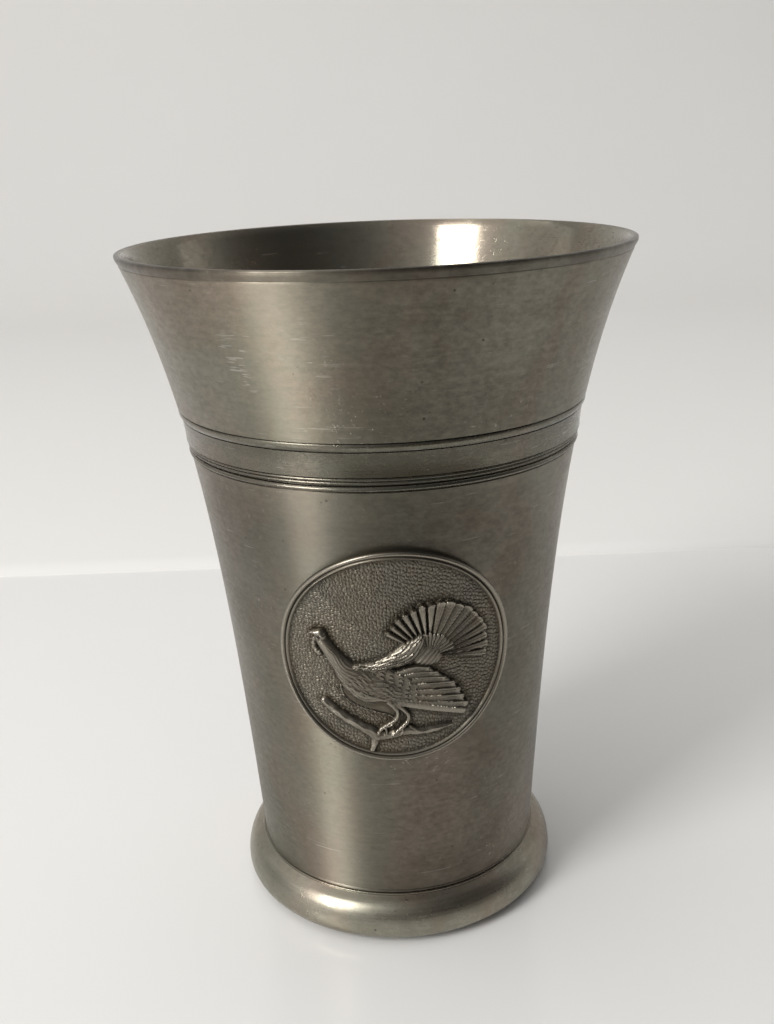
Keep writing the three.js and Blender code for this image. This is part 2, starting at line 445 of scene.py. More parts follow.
def limb(u, v, points, height):
    """A rounded limb along a curve of (u, v, radius) points, with its side and length fields."""
    distance, side, along, extra = nearest(u, v, spline(points))
    radius = extra[..., 0]
    return height * dome(distance, radius), side / radius, along, distance < radius


def plate(u, v, outline, height, edge):
    """A flat-topped shape with a rounded edge."""
    closed = spline(outline, 6, closed=True)
    distance = nearest(u, v, np.concatenate([closed, closed[:1]]))[0]
    depth = np.where(inside(u, v, closed), distance, 0)
    return height * dome(1 - clamp(depth / edge), 1)


def scales(along, across, length, width, rise):
    """Rows of small overlapping feathers, thickest at their rounded ends."""
    row = np.floor(along / length)
    shift = across / width + 0.5 * (row % 2)
    x = 2 * (shift - np.floor(shift)) - 1
    tip = along / length - row
    edge = 1 - 0.55 * x ** 2
    t = np.where(tip < edge, tip / np.maximum(edge, 0.1), (tip - edge) / np.maximum(1.05 - edge, 0.1) * 0.4)
    return rise * t * (1 - 0.35 * x ** 2)


def plumes(along, across, length, width, rise):
    """Strips of long slender feathers, each strip's tips staggered against the next."""
    column = np.floor(across / width)
    x = 2 * (across / width - column) - 1
    t = along / length + column * 0.382
    t = t - np.floor(t)
    taper = 1 - 0.7 * t ** 3
    return rise * dome(x, taper) * (0.55 + 0.45 * t)


def pebbles(u, v):
    """The stippled ground: small rounded grains, a little taller than they are wide."""
    warp_u = u + 0.08 * np.sin(v * 2.3 + 1.3) + 0.06 * np.sin(u * 3.1 + v * 1.7)
    warp_v = (v + 0.08 * np.sin(u * 2.1 + 0.4)) * 0.78 + 0.18 * u
    gu, gv = warp_u / PEBBLE, warp_v / PEBBLE
    cell_u, cell_v = np.floor(gu), np.floor(gv)
    closest = np.full(u.shape, 9.0)
    second = np.full(u.shape, 9.0)
    for du in (-1, 0, 1):
        for dv in (-1, 0, 1):
            cu, cv = cell_u + du, cell_v + dv
            hash_u = np.modf(np.abs(np.sin(cu * 127.1 + cv * 311.7) * 43758.5453))[0]
            hash_v = np.modf(np.abs(np.sin(cu * 269.5 + cv * 183.3) * 24634.6345))[0]
            distance = np.hypot(cu + 0.1 + 0.8 * hash_u - gu, cv + 0.1 + 0.8 * hash_v - gv)
            second = np.minimum(second, np.maximum(closest, distance))
            closest = np.minimum(closest, distance)
    return 1 - (1 - clamp((second - closest) / 0.55)) ** 2


TAIL_HUB = (5.6, 0.4)
TAIL_FROM, TAIL_TO = -13.0, 149.0
TAIL_FEATHERS = 17
TAIL_REACH = ((-13, 25, 60, 96, 149), (10.7, 11.4, 11.3, 10.4, 9.0))


def fan(u, v, hub, start, stop, count):
    """Polar fields of a fan: radius, angle in degrees, feather number, and -1 to 1 across each feather."""
    du, dv = u - hub[0], v - hub[1]
    radius, angle = np.hypot(du, dv), np.degrees(np.arctan2(dv, du))
    place = (angle - start) / (stop - start) * count
    index = np.floor(place)
    covered = (place > 0) & (place < count)
    return radius, angle, index, 2 * (place - index) - 1, covered


def tail(u, v):
    """The open fan: narrow split feathers at its left, broad overlapping ones at its right."""
    radius, angle, index, x, covered = fan(u, v, TAIL_HUB, TAIL_FROM, TAIL_TO, TAIL_FEATHERS)
    split = clamp((angle - 74) / 14)
    right = clamp((34 - angle) / 10)
    reach = np.interp(angle, *TAIL_REACH) + 0.13 * np.sin(index * 2.4)
    end = reach - (0.30 + 0.35 * split) * x ** 2
    pitch = radius * math.radians((TAIL_TO - TAIL_FROM) / TAIL_FEATHERS)
    to_edge = (1 - np.abs(x)) * pitch / 2
    bars = 0.16 * (1 - x ** 2) * split
    overlap = -0.08 * x * (1 - 0.5 * split)
    quill = 0.07 * bell(x + 0.15, 0.09)
    edge_line = 0.11 * bell(to_edge - 0.20, 0.07) * (x < 0)
    notch = clamp((radius - 7.2) / 1.2) * clamp((end - 0.45 - radius) / 0.3) * right
    depth = 0.10 + 0.46 * split + 0.42 * notch
    gap = -depth * bell(to_edge, 0.13 + 0.07 * split)
    barbs = 0.012 * np.sin(radius * 9 - np.abs(x) * 4)
    tip = (0.10 + 0.28 * split) * bell(radius - end + 0.28, 0.17)
    rise = clamp((end - radius) / 0.16) ** 0.5
    lift = 0.50 + 0.16 * clamp(radius / 11)
    vane = (lift + bars + overlap + quill + edge_line + gap + barbs + tip) * rise
    height = np.where(covered & (radius < end) & (radius > 1.5), vane, 0)
    radius, angle, index, x, covered = fan(u, v, TAIL_HUB, 12.0, 152.0, 14)
    end = 4.7 + 0.2 * np.sin(index * 1.9) - 0.5 * x ** 2
    rise = clamp((end - radius) / 0.14) ** 0.5
    covert = (0.66 + 0.12 * (1 - x ** 2) - 0.10 * x + 0.05 * bell(x, 0.14)) * rise
    return np.maximum(height, np.where(covered & (radius < end), covert, 0))


WING_EDGE = [(-6.4, -1.2), (-5.0, -2.3), (-4.2, -3.4), (-3.5, -4.7), (-2.9, -6.2), (-1.8, -7.7), (0.0, -8.6),
             (1.9, -9.1), (3.6, -9.4), (5.3, -9.8), (7.8, -10.9), (9.5, -11.8), (10.9, -12.3)]
FLIGHT_FEATHERS = [((-0.4, -2.8), (2.8, -2.0), (5.2, -2.2)), ((-0.5, -3.7), (3.6, -3.1), (6.6, -3.3)),
                   ((-0.5, -4.6), (4.5, -4.2), (8.0, -4.6)), ((-0.4, -5.5), (5.0, -5.5), (9.5, -5.8)),
                   ((-0.2, -6.4), (5.4, -6.9), (10.5, -7.3)), ((0.0, -7.3), (5.8, -8.2), (11.2, -8.9)),
                   ((0.3, -8.2), (5.8, -9.4), (11.9, -10.6)), ((0.5, -8.7), (5.6, -10.1), (11.4, -12.0))]


def wing(u, v):
    """The drooped wing: flight feathers joined by a web, with rows of small ones over their roots."""
    height = np.zeros(u.shape)
    for order, (root, bow, tip) in enumerate(FLIGHT_FEATHERS):
        path = [(*root, 0.62), (*bow, 0.78), (*tip, 0.70)]
        distance, side, along, extra = nearest(u, v, spline(path))
        x = side / extra[..., 0]
        vane = clamp((1 - distance / extra[..., 0]) / 0.30) ** 0.5
        border = 0.05 * bell(np.abs(x) - 0.70, 0.12)
        quill = 0.06 * bell(x - 0.1, 0.10)
        barbs = 0.015 * np.sin(along * 9 + np.abs(x) * 4)
        feather = (0.86 + 0.03 * order + 0.08 * x + border + quill + barbs) * vane
        height = np.maximum(height, feather)
    web = [(0.0, -2.2), (4.9, -1.6), (6.5, -2.7), (8.0, -3.9), (9.4, -5.2), (10.5, -6.7),
           (11.3, -8.4), (11.9, -10.1), (11.8, -11.6), (5.0, -10.0), (0.0, -8.8)]
    height = np.maximum(height, plate(u, v, web, 0.80, 0.3))
    shoulder = [*WING_EDGE[:9], (4.7, -8.6), (4.9, -7.2), (4.4, -5.7), (3.3, -4.1), (1.3, -2.5),
                (-1.5, -1.4), (-3.6, -1.0), (-5.4, -0.7)]
    cover = plate(u, v, shoulder, 0.98, 0.9)
    distance = nearest(u, v, spline(WING_EDGE))[0]
    droop = math.radians(-12)
    along = u * math.cos(droop) + v * math.sin(droop) + 0.12 * np.sin(v * 1.7)
    across = v * math.cos(droop) - u * math.sin(droop)
    rows = scales(along + 9, across, 1.55, 0.84, 0.24) - 0.05
    ridge = 0.20 * bell(distance - 0.22, 0.14) - 0.12 * bell(distance - 0.50, 0.12)
    away = clamp((distance - 0.5) / 0.4)
    cover = np.where(cover > 0, cover + rows * away + ridge, 0)
    return np.maximum(height, cover)


def body_mass(u, v):
    """The stretched neck, breast, back and rump, with fine feathering."""
    neck = [(-13.1, 4.6, 1.0), (-12.5, 3.5, 1.25), (-11.3, 1.6, 1.40), (-9.6, -0.9, 1.85), (-7.6, -3.3, 2.75),
            (-5.2, -5.0, 3.5), (-2.6, -5.7, 3.25), (-0.6, -6.6, 2.3)]
    height, side, along, covered = limb(u, v, neck, 1.30)
    fine = 0.045 * np.sin(side * 22 + 3 * np.sin(along * 1.1)) * clamp(along / 3)
    feathering = plumes(along, side * 2.8 + 0.3 * np.sin(along), 2.0, 0.42, 0.10)
    feathering = feathering * clamp((along - 6) / 4)
    front = np.where(covered, height + (fine + feathering) * clamp(height), 0)
    back = [(-6.8, -1.3, 0.8), (-4.6, -1.3, 1.0), (-2.2, -0.8, 1.3), (0.2, 0.2, 1.7), (2.2, 1.4, 2.0),
            (3.6, 2.9, 1.7), (4.3, 4.2, 0.8)]
    rear, side, along, covered = limb(u, v, back, 1.12)
    feathering = plumes(along, side * 2.0 + 0.25 * np.sin(along * 0.9), 3.0, 0.62, 0.26) - 0.10
    rear = np.where(covered, rear + feathering * clamp(rear * 1.4), 0)
    rump = 1.02 * dome(np.hypot((u - 5.3) / 2.9, (v - 0.6) / 2.5), 1.0)
    slant = (u - 5.2) * math.sin(math.radians(55)) - (v - 0.5) * math.cos(math.radians(55))
    streaks = 0.07 * np.sin(slant * 8.5 + 0.5 * np.sin(v * 2.6)) + 0.03 * np.sin(slant * 19)
    rump = np.where(rump > 0, rump + streaks * clamp(rump * 1.3), 0)
    return np.maximum.reduce([front, rear, rump])


def head(u, v):
    """Beak, brow, eye and the throat's beard."""
    beak = limb(u, v, [(-13.4, 4.9, 0.75), (-14.1, 5.2, 0.5), (-14.7, 5.0, 0.2)], 1.25)[0]
    crown = limb(u, v, [(-13.7, 5.2, 0.6), (-12.8, 5.1, 0.9), (-12.3, 4.5, 0.7)], 1.42)[0]
    beard = np.zeros(u.shape)
    for point in [(-14.0, 3.6), (-14.2, 2.8), (-14.2, 2.0), (-13.8, 1.3), (-13.3, 0.9)]:
        beard = np.maximum(beard, 0.75 * dome(np.hypot(u - point[0], (v - point[1]) * 0.9), 0.62))
    from_eye = np.hypot(u + 13.15, v - 4.2)
    eye = 0.16 * dome(from_eye, 0.3) - 0.14 * dome(from_eye - 0.42, 0.14)
    return np.maximum.reduce([beak, crown, beard]), eye


def legs(u, v):
    """Two ringed legs, each with its toes on the branch."""
    left = limb(u, v, [(-1.3, -8.5, 0.8), (-0.1, -10.4, 0.48), (-0.3, -12.1, 0.42), (-1.6, -13.2, 0.44),
                       (-3.0, -14.3, 0.46), (-3.5, -15.4, 0.3)], 0.9)
    right = limb(u, v, [(-0.3, -8.7, 0.9), (1.1, -10.3, 0.55), (1.8, -11.6, 0.46), (1.5, -12.9, 0.5),
                        (0.4, -14.1, 0.5), (-0.4, -14.9, 0.45), (-1.2, -15.6, 0.28)], 1.0)
    height = np.zeros(u.shape)
    for rise, _, along, covered in (left, right):
        rings = 0.09 * np.cos(along * 7.5) * (along > 4)
        height = np.maximum(height, np.where(covered, rise + rings * rise, 0))
    toes = [[(-2.2, -13.9, 0.35), (-2.0, -14.8, 0.3), (-2.3, -15.6, 0.18)],
            [(-1.7, -13.6, 0.3), (-1.1, -13.2, 0.22), (-0.9, -12.8, 0.12)],
            [(0.6, -13.9, 0.35), (0.7, -14.8, 0.3), (0.3, -15.6, 0.18)]]
    for toe in toes:
        height = np.maximum(height, limb(u, v, toe, 0.95)[0])
    return height


def branch(u, v):
    """The gnarled perch: a cut limb, a fork that drops, a thinner limb to the right and its twig."""
    cut_limb = [(-12.9, -9.0, 0.85), (-11.2, -10.5, 0.95), (-8.8, -12.3, 0.95), (-6.4, -13.7, 1.0),
                (-4.6, -14.9, 1.25), (-3.8, -15.9, 1.1)]
    fork = [(-4.0, -15.6, 1.1), (-4.2, -17.2, 0.75), (-4.7, -19.2, 0.5)]
    thin_limb = [(-4.0, -15.7, 1.1), (-1.6, -15.6, 0.95), (1.2, -14.9, 0.95), (3.8, -15.2, 0.8),
                 (6.6, -15.0, 0.7), (9.3, -14.6, 0.35)]
    twig = [(1.9, -13.7, 0.28), (2.9, -14.5, 0.34), (4.1, -15.3, 0.5)]
    height = np.zeros(u.shape)
    for points, rise in ((cut_limb, 0.95), (fork, 0.8), (thin_limb, 0.75), (twig, 0.7)):
        bark, side, along, covered = limb(u, v, points, rise)
        grain = 0.05 * np.sin(side * 7 + 1.5 * np.sin(along * 1.7)) + 0.03 * np.sin(along * 3.1 + side * 2)
        height = np.maximum(height, np.where(covered, bark + grain * bark, 0))
    return height


def far_wing(u, v):
    """A smooth low step below the breast, with a raised thread along its lower edge."""
    thread = [(-9.8, -5.4), (-9.5, -7.0), (-8.8, -8.1), (-7.7, -9.1), (-6.3, -9.8), (-4.6, -10.4),
              (-2.9, -10.9), (-1.5, -11.4), (-0.6, -12.1)]
    line = nearest(u, v, spline(thread))[0]
    step = plate(u, v, [*thread, (-0.4, -10.0), (-1.2, -8.0), (-5.0, -6.5), (-8.5, -5.0)], 0.16, 0.3)
    return step, 0.36 * dome(line, 0.24)


def rim(radius):
    """Height of the doubled rim, from its inner foot to its outer edge."""
    outer_ridge = RIM * dome(radius - (MEDALLION_RADIUS - 0.50), 0.62) ** 0.8
    inner_ridge = 1.22 * dome(radius - (MEDALLION_RADIUS - 1.36), 0.42) ** 0.8
    floor = np.where(radius > MEDALLION_RADIUS - 1.5, 0.92, 0)
    return np.maximum.reduce([outer_ridge, inner_ridge, floor])


def box_blur(field, reach):
    """The mean of a grid over a square of 2 * reach + 1 cells."""
    for axis in (0, 1):
        padded = np.pad(field, [(reach + 1, reach) if a == axis else (0, 0) for a in (0, 1)], mode="edge")
        total = np.cumsum(padded, axis=axis)
        low = np.take(total, range(0, field.shape[axis]), axis=axis)
        high = np.take(total, range(2 * reach + 1, 2 * reach + 1 + field.shape[axis]), axis=axis)
        field = (high - low) / (2 * reach + 1)
    return field


def relief(u, v):
    """Height of the casting's front over the body's wall, and where its stippled ground is bare."""
    radius = np.hypot(u, v)
    grain = pebbles(u, v)
    step, thread = far_wing(u, v)
    face, eye = head(u, v)
    bird = np.maximum.reduce([tail(u, v), body_mass(u, v), wing(u, v), face, legs(u, v)])
    figure = np.maximum(bird, branch(u, v))
    blend = clamp(figure / 0.25)
    bare = (1 - blend) * (step <= 0)
    ground = GROUND + GRAIN * (grain - 0.5) * bare + step
    height = np.maximum(ground + figure, ground + thread) + eye * blend
    inside_rim = radius < MEDALLION_RADIUS - 1.78
    edge = np.maximum(rim(radius), ground * (radius < MEDALLION_RADIUS - 1))
    return np.where(inside_rim, height, edge), bare * inside_rim


def medallion():
    """The casting: a fine relief grid, a rounded side wall and a bent back."""
    u, v = disc_grid(MEDALLION_RADIUS, GRID)
    height, bare = relief(u, v)
    hollow = height - box_blur(box_blur(height, 4), 4)
    side = GRID + 1
    index = np.arange(side * side).reshape(side, side)
    corners = [index[:-1, :-1], index[:-1, 1:], index[1:, 1:], index[1:, :-1]]
    faces = np.stack(corners, axis=-1).reshape(-1, 4).tolist()
    ring = np.concatenate([index[0, :-1], index[:-1, -1], index[-1, :0:-1], index[:0:-1, 0]])
    edge_u, edge_v = u.flat[ring], v.flat[ring]
    verts = [on_body(u, v, height).reshape(-1, 3)]
    count = side * side
    side_wall = [(0.0, 0.62), (0.03, 0.3), (0.2, BED)]
    back = [(inset * MEDALLION_RADIUS, BED) for inset in (0.2, 0.4, 0.6, 0.8)]
    for inset, level in side_wall + back:
        scale = 1 - inset / MEDALLION_RADIUS
        verts.append(on_body(edge_u * scale, edge_v * scale, level))
        lower = np.arange(count, count + len(ring))
        faces += np.stack([ring, lower, np.roll(lower, -1), np.roll(ring, -1)], axis=-1).tolist()
        ring = lower
        count += len(ring)
    verts.append(on_body(np.zeros(1), np.zeros(1), BED))
    faces += np.stack([ring, np.full(len(ring), count), np.roll(ring, -1)], axis=-1).tolist()
    piece = mesh_object("medallion", np.concatenate(verts), faces)
    paint(piece, "wear", clamp(0.5 + hollow * 1.7))
    paint(piece, "stipple", bare)
    return piece


def medallion_solder():
    """The dull bed of solder that shows as a dark seam round the medallion's edge."""
    count = 200
    angle = np.arange(count) * 2 * math.pi / count
    rings = []
    for radius, level in ((20.3, 0.02), (20.95, 0.02), (21.02, 0.07), (20.9, BED), (20.3, BED)):
        edge = radius + 0.03 * np.sin(angle * 9) + 0.02 * np.sin(angle * 23 + 1)
        rings.append(on_body(edge * np.cos(angle), edge * np.sin(angle), level))
    faces = []
    for r in range(len(rings)):
        here, there = r * count, (r + 1) % len(rings) * count
        faces += [(here + s, here + (s + 1) % count, there + (s + 1) % count, there + s)
                  for s in range(count)]
    return mesh_object("medallion_solder", np.concatenate(rings), faces)


# ---------------------------------------------------------------- materials


class Nodes:
    """A short way to write a node tree."""

    def __init__(self, name):
        self.material = bpy.data.materials.new(name)
        self.material.use_nodes = True
        self.tree = self.material.node_tree
        self.shader = self.tree.nodes["Principled BSDF"]

    def add(self, kind, inputs=None, **settings):
        """A new node with its inputs and settings filled in."""
        node = self.tree.nodes.new(kind)
        for key, value in settings.items():
            setattr(node, key, value)
        for key, value in (inputs or {}).items():
            self.feed(node.inputs[key], value)
        return node

    def link(self, source, target):
        """Joins an output to an input."""
        self.tree.links.new(source, target)

    def feed(self, socket, value):
        """Gives an input another node's output, or a plain value."""
        if isinstance(value, bpy.types.NodeSocket):
            self.tree.links.new(value, socket)
        else:
            socket.default_value = value

    def place(self, scale):
        """Object coordinates stretched by a scale per axis."""
        coordinates = self.add("ShaderNodeTexCoord").outputs["Object"]
        return self.add("ShaderNodeMapping", {"Vector": coordinates, "Scale": scale}).outputs[0]

    def vectors(self, operation, *values):
        """Works on one vector, or on two."""
        return self.add("ShaderNodeVectorMath", dict(enumerate(values)), operation=operation)

    def distance_from(self, spot):
        """Distance in metres from a spot on the beaker."""
        return self.vectors("DISTANCE", self.place((1.0, 1.0, 1.0)), spot).outputs["Value"]

    def attribute(self, name):
        """A number that was stored on the vertices."""
        return self.add("ShaderNodeAttribute", attribute_name=name).outputs["Fac"]

    def noise(self, where, detail=3.0, roughness=0.5, distortion=0.0):
        """Cloudy noise; where is a scale per axis, or stretched coordinates."""
        vector = self.place(where) if isinstance(where, tuple) else where
        return self.add("ShaderNodeTexNoise", {"Vector": vector, "Scale": 1.0, "Detail": detail,
                                               "Roughness": roughness, "Distortion": distortion}).outputs[0]

    def cells(self, scale):
        """Distance to the nearest of many scattered points."""
        return self.add("ShaderNodeTexVoronoi", {"Vector": self.place(scale), "Scale": 1.0},
                        feature="F1").outputs["Distance"]

    def remap(self, value, low, high, to_low=0.0, to_high=1.0):
        """Moves a value from one range to another, clamped to it."""
        return self.add("ShaderNodeMapRange", {"Value": value, "From Min": low, "From Max": high,
                                               "To Min": to_low, "To Max": to_high}).outputs[0]

    def mix(self, factor, first, second, blend="MIX"):
        """Mixes two colours."""
        node = self.add("ShaderNodeMix", data_type="RGBA", blend_type=blend)
        self.feed(node.inputs[0], factor)
        self.feed(node.inputs[6], first)
        self.feed(node.inputs[7], second)
        return node.outputs[2]

    def math(self, operation, first, second):
        """Combines two numbers."""
        node = self.add("ShaderNodeMath", operation=operation)
        self.feed(node.inputs[0], first)
        self.feed(node.inputs[1], second)
        return node.outputs[0]

    def product(self, *values):
        """Multiplies any number of numbers."""
        total = values[0]
        for value in values[1:]:
            total = self.math("MULTIPLY", total, value)
        return total

    def bump(self, height, strength, distance, normal=None):
        """Tilts the surface by a height field, over an earlier bump if given."""
        inputs = {"Height": height, "Strength": strength, "Distance": distance}
        if normal is not None:
            inputs["Normal"] = normal
        return self.add("ShaderNodeBump", inputs).outputs[0]


# Spots on the beaker: where it was handled most, and the middle of a patch of painted shade over the
# medallion that dims the highlight there.
WORN_SPOT = (-0.018, -0.037, 0.113)
SHADE_PATCH_SPOT = (-0.0157, -0.0309, 0.079)
PIT_BLACK = (0.035, 0.03, 0.025, 1.0)
BRIGHT_METAL = (0.45, 0.43, 0.38, 1.0)
# Brown for grime and for painted shade.
GRIME_AND_SHADE_BROWN = (0.055, 0.048, 0.038, 1.0)
COOL_TINT = (0.97, 1.01, 0.96, 1.0)
WARM_TINT = (1.05, 0.985, 0.94, 1.0)
TARNISH = 0.5
COAT, COAT_ROUGHNESS = 0.2, 0.3
QUARTER_TURN = 0.25


def scratches(nodes, angle, stretch, density, seed):
    """Sparse thin straight marks that run at an angle round the wall."""
    coordinates = nodes.add("ShaderNodeTexCoord").outputs["Object"]
    slanted = nodes.add("ShaderNodeMapping", {"Vector": coordinates, "Rotation": (0.0, angle, seed),
                                              "Scale": (stretch, stretch, 2600.0)}).outputs[0]
    line = nodes.noise(slanted, 1.0)
    spread = 1.0 + 0.1 * seed
    mask = nodes.noise((190.0 * spread, 190.0 * spread, 120.0 * spread), 1.0)
    strokes = nodes.remap(line, density, density + 0.02)
    return nodes.product(strokes, nodes.remap(mask, 0.56, 0.64))


def all_scratches(nodes):
    """Scratches round the wall and across it, and a patch of them where the beaker was handled."""
    marks = nodes.math("MAXIMUM", scratches(nodes, 0.06, 75.0, 0.735, 0.3),
                       scratches(nodes, -0.9, 60.0, 0.72, 1.7))
    handled = nodes.remap(nodes.distance_from(WORN_SPOT), 0.016, 0.006)
    return nodes.math("MAXIMUM", marks, nodes.product(scratches(nodes, 0.35, 260.0, 0.60, 2.3), handled))


def inward_side(nodes):
    """1 on the wall's inner side, 0 on its outer side."""
    spoke = nodes.vectors("NORMALIZE", nodes.place((1.0, 1.0, 0.0))).outputs[0]
    normal = nodes.add("ShaderNodeNewGeometry").outputs["True Normal"]
    return nodes.remap(nodes.vectors("DOT_PRODUCT", spoke, normal).outputs["Value"], -0.5, -0.7)


def turned_pewter(name, base, dark, roughness, anisotropy, polish_inside=0.0, dented=0.35):
    """Satin turned pewter: fine rings, cloudy tarnish, pits, grime with painted shade, nicks, stray
    scratches, and painted light that lightens it towards the top.
    """
    nodes = Nodes(name)
    rings = nodes.noise((16.0, 16.0, 5200.0), 2.0)
    broad_rings = nodes.noise((9.0, 9.0, 1300.0), 2.0)
    clouds = nodes.noise((34.0, 34.0, 26.0), 4.0, 0.55, 0.6)
    patches = nodes.noise((88.0, 88.0, 60.0), 5.0, 0.62, 0.8)
    mottle = nodes.noise((650.0, 650.0, 1150.0), 4.0, 0.7)
    rare = nodes.noise((260.0, 260.0, 260.0), 0.0)
    pit = nodes.product(nodes.remap(nodes.cells((430.0, 430.0, 430.0)), 0.13, 0.05),
                        nodes.remap(rare, 0.66, 0.72))
    marks = all_scratches(nodes)
    worn = nodes.remap(nodes.noise((60.0, 60.0, 40.0), 5.0, 0.7), 0.50, 0.66)
    nick = nodes.product(nodes.remap(nodes.noise((1500.0, 1500.0, 1900.0), 1.0), 0.66, 0.72), worn)

    brown = tuple(c * k for c, k in zip(dark, (1.06, 0.94, 0.84))) + (1.0,)
    tone = nodes.mix(nodes.remap(clouds, 0.38, 0.62), (*dark, 1.0), (*base, 1.0))
    hue = nodes.remap(nodes.noise((46.0, 46.0, 30.0), 3.0, 0.55, 0.6), 0.40, 0.60)
    tone = nodes.mix(1.0, tone, nodes.mix(hue, COOL_TINT, WARM_TINT), "MULTIPLY")
    tone = nodes.mix(nodes.remap(patches, 0.50, 0.72, 0.0, TARNISH), tone, brown)
    # Painted light and shade in the tone: lighter towards the top, darker lower down, and a patch of painted
    # shade round the second spot; the broad rings and mottle are random tone.
    height = nodes.add("ShaderNodeSeparateXYZ", {0: nodes.place((1.0, 1.0, 1.0))}).outputs["Z"]
    level = nodes.product(nodes.remap(broad_rings, 0.25, 0.75, 0.965, 1.03),
                          nodes.remap(height, 0.085, 0.12, 0.93, 1.16),
                          nodes.remap(mottle, 0.32, 0.68, 0.91, 1.09),
                          nodes.remap(nodes.distance_from(SHADE_PATCH_SPOT), 0.008, 0.028, 0.72, 1.0))
    level = nodes.add("ShaderNodeCombineColor", {0: level, 1: level, 2: level}).outputs[0]
    tone = nodes.mix(1.0, tone, level, "MULTIPLY")
    tone = nodes.mix(nodes.product(pit, 0.75), tone, PIT_BLACK)
    bright = nodes.math("MAXIMUM", nodes.product(marks, 0.5), nodes.product(nick, 0.2))
    tone = nodes.mix(bright, tone, BRIGHT_METAL)
    # Grime and painted shade from the vertices' map darken the tone towards brown.
    dirt_and_shade = nodes.product(nodes.attribute("grime_and_shade"), nodes.remap(patches, 0.35, 0.60, 0.45, 0.8))
    nodes.link(nodes.mix(dirt_and_shade, tone, GRIME_AND_SHADE_BROWN), nodes.shader.inputs["Base Color"])

    rough = nodes.math("ADD", nodes.remap(clouds, 0.3, 0.7, roughness + 0.05, roughness - 0.05),
                       nodes.remap(rings, 0.3, 0.7, -0.03, 0.03))
    rough = nodes.math("ADD", rough, nodes.remap(patches, 0.45, 0.75, 0.0, 0.06))
    rough = nodes.math("ADD", rough, nodes.remap(mottle, 0.35, 0.65, 0.05, -0.05))
    rough = nodes.math("SUBTRACT", rough, nodes.product(inward_side(nodes), polish_inside))
    rough = nodes.math("SUBTRACT", rough, nodes.product(nick, 0.5 * roughness))
    nodes.link(rough, nodes.shader.inputs["Roughness"])

    normal = nodes.bump(nodes.noise((120.0, 120.0, 95.0), 3.0, 0.5), dented, 0.00012)
    normal = nodes.bump(rings, 0.10, 0.00003, normal)
    normal = nodes.bump(broad_rings, 0.06, 0.00006, normal)
    normal = nodes.bump(nodes.math("SUBTRACT", marks, pit), 0.35, 0.00005, normal)
    normal = nodes.bump(nick, 0.5, 0.00006, normal)
    grain = nodes.noise((900.0, 900.0, 2300.0), 2.0)
    normal = nodes.bump(nodes.product(grain, worn), 0.35, 0.00006, normal)
    nodes.link(normal, nodes.shader.inputs["Normal"])
    tangent = nodes.add("ShaderNodeTangent", direction_type="RADIAL", axis="Z").outputs[0]
    nodes.link(tangent, nodes.shader.inputs["Tangent"])
    settings = {"Metallic": 1.0, "Anisotropic": anisotropy, "Anisotropic Rotation": QUARTER_TURN,
                "Coat Weight": COAT, "Coat Roughness": COAT_ROUGHNESS}
    for socket, value in settings.items():
        nodes.shader.inputs[socket].default_value = value
    return nodes.material


def relief_pewter(name, worn, patina):
    """Cast pewter, worn bright on its ridges and dark in its hollows."""
    nodes = Nodes(name)
    wear = nodes.attribute("wear")
    clouds = nodes.noise((95.0, 95.0, 95.0), 4.0, 0.6, 0.5)
    grit = nodes.noise((2600.0, 2600.0, 2600.0), 2.0)
    brown = (patina[0] * 1.06, patina[1] * 0.97, patina[2] * 0.88, 1.0)
    hollow = nodes.mix(nodes.remap(clouds, 0.4, 0.6), (*patina, 1.0), brown)
    tone = nodes.mix(nodes.remap(wear, 0.36, 0.84), hollow, (*worn, 1.0))
    nodes.link(tone, nodes.shader.inputs["Base Color"])
    rough = nodes.math("ADD", nodes.remap(wear, 0.3, 0.75, 0.52, 0.30),
                       nodes.remap(grit, 0.3, 0.7, -0.04, 0.04))
    nodes.link(rough, nodes.shader.inputs["Roughness"])
    grains = nodes.product(nodes.cells((2500.0, 2500.0, 1900.0)), nodes.attribute("stipple"))
    normal = nodes.bump(grains, 0.15, -0.00010)
    nodes.link(nodes.bump(grit, 0.2, 0.00003, normal), nodes.shader.inputs["Normal"])
    nodes.shader.inputs["Metallic"].default_value = 1.0
    return nodes.material


def dull_solder(name):
    """Grey, unpolished solder."""
    nodes = Nodes(name)
    clouds = nodes.noise((300.0, 300.0, 300.0), 4.0, 0.6)
    tone = nodes.mix(nodes.remap(clouds, 0.35, 0.65), (0.13, 0.12, 0.105, 1.0), (0.24, 0.23, 0.21, 1.0))
    nodes.link(tone, nodes.shader.inputs["Base Color"])
    nodes.link(nodes.remap(clouds, 0.3, 0.7, 0.5, 0.7), nodes.shader.inputs["Roughness"])
    nodes.link(nodes.bump(clouds, 0.4, 0.00008), nodes.shader.inputs["Normal"])
    nodes.shader.inputs["Metallic"].default_value = 1.0
    return nodes.material


def stage_material(name, low, high, roughness):
    """A plain board, faintly clouded between two near tones."""
    nodes = Nodes(name)
    clouds = nodes.noise((6.0, 6.0, 6.0), 2.0)
    nodes.link(nodes.mix(clouds, (*low, 1.0), (*high, 1.0)), nodes.shader.inputs["Base Color"])
    nodes.shader.inputs["Roughness"].default_value = roughness
    return nodes.material


# ---------------------------------------------------------------- assembly

